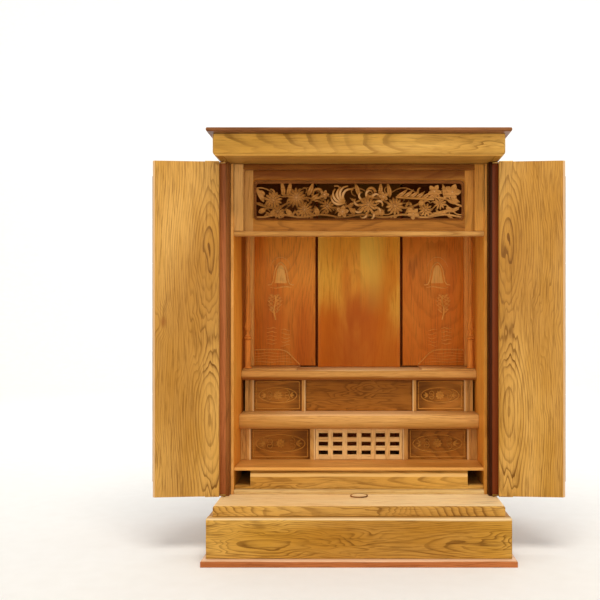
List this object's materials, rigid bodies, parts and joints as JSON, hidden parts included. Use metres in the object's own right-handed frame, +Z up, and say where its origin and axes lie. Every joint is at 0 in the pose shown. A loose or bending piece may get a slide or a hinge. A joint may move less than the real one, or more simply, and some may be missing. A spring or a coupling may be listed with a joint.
{
  "type": "household altar cabinet",
  "caption": "Small wooden household altar cabinet on a plinth, bifold doors open beside its walls, with a stepped altar, lattice, turned columns and a carved transom inside.",
  "frame": {"origin": "on the floor under the middle of the base: halfway across the width and halfway from the skirting's front edge to its back edge", "axes": "+Z up, -Y out of the open front towards the viewer, +X to the right of a viewer who faces the open doors"},
  "size_m": [0.5956, 0.34, 0.6],
  "materials": {
    "golden_wood": "golden zelkova-like veneer, figured grain, clear satin lacquer",
    "figured_wood": "golden brown burr-figured veneer, clear gloss lacquer",
    "slab_wood": "pale pinkish tan wood, satin lacquer",
    "light_wood": "light ochre wood, satin lacquer",
    "orange_wood": "warm orange-stained wood, satin lacquer",
    "panel_wood": "deep orange-stained figured panel, satin lacquer",
    "red_wood": "reddish brown stained wood, semi-gloss lacquer",
    "back_wood": "plain unpolished plywood",
    "brass": "satin brass, slightly aged"
  },
  "bodies": {
    "cabinet": {"skirting_front": "red_wood", "skirting_left": "red_wood", "skirting_right": "red_wood", "wall_left": "red_wood", "wall_right": "red_wood", "cap_board": "red_wood", "plinth_front": "figured_wood", "plinth_left": "figured_wood", "plinth_right": "figured_wood", "cornice_front": "figured_wood", "cornice_left": "figured_wood", "cornice_right": "figured_wood", "base_slab": "slab_wood", "back_board": "back_wood", "ceiling_board": "golden_wood", "lower_shelf": "golden_wood", "floor_board": "light_wood", "lower_divider_left": "light_wood", "lower_divider_right": "light_wood", "lower_post_left": "light_wood", "lower_post_right": "light_wood", "upper_divider_left": "light_wood", "upper_divider_right": "light_wood", "upper_post_left": "light_wood", "upper_post_right": "light_wood", "lattice": "light_wood", "column_left": "light_wood", "column_right": "light_wood", "corner_batten_left": "light_wood", "corner_batten_right": "light_wood", "transom_surround": "light_wood", "transom_moulding": "light_wood", "transom_frame": "light_wood", "lining_left": "orange_wood", "lining_right": "orange_wood", "offering_ledge": "orange_wood", "upper_shelf": "orange_wood", "transom_carving": "orange_wood", "lower_panel_left": "panel_wood", "lower_panel_right": "panel_wood", "upper_panel_left": "panel_wood", "upper_panel_right": "panel_wood", "upper_panel_centre": "panel_wood", "wing_panel_left": "panel_wood", "wing_panel_right": "panel_wood", "centre_panel": "panel_wood", "catch_disc": "brass"},
    "left_door": {"left_door_leaf": "golden_wood", "left_pivot_top": "brass", "left_pivot_bottom": "brass", "left_hinge_fixed": "brass"},
    "left_folding_door": {"left_folding_leaf": "golden_wood", "left_hinge_moving": "brass"},
    "right_door": {"right_door_leaf": "golden_wood", "right_pivot_top": "brass", "right_pivot_bottom": "brass", "right_hinge_fixed": "brass"},
    "right_folding_door": {"right_folding_leaf": "golden_wood", "right_hinge_moving": "brass"},
    "pull_out": {"pull_out_board": "golden_wood"}
  },
  "joints": [
    {"name": "left_door_hinge", "type": "hinge", "parent": "cabinet", "child": "left_door", "pos_m": [-0.1955, -0.0815, 0.32], "axis": [0, 0, -1], "range_deg": [-174.5, 0]},
    {"name": "left_door_fold", "type": "hinge", "parent": "left_door", "child": "left_folding_door", "pos_m": [-0.296, -0.09158, 0.32], "axis": [0, 0, -1], "range_deg": [-180, 0]},
    {"name": "right_door_hinge", "type": "hinge", "parent": "cabinet", "child": "right_door", "pos_m": [0.1955, -0.0815, 0.32], "axis": [0, 0, 1], "range_deg": [-174.5, 0]},
    {"name": "right_door_fold", "type": "hinge", "parent": "right_door", "child": "right_folding_door", "pos_m": [0.296, -0.09158, 0.32], "axis": [0, 0, 1], "range_deg": [-180, 0]},
    {"name": "board_slide", "type": "slide", "parent": "cabinet", "child": "pull_out", "axis": [0, -1, 0], "range_m": [0, 0.1]}
  ]
}
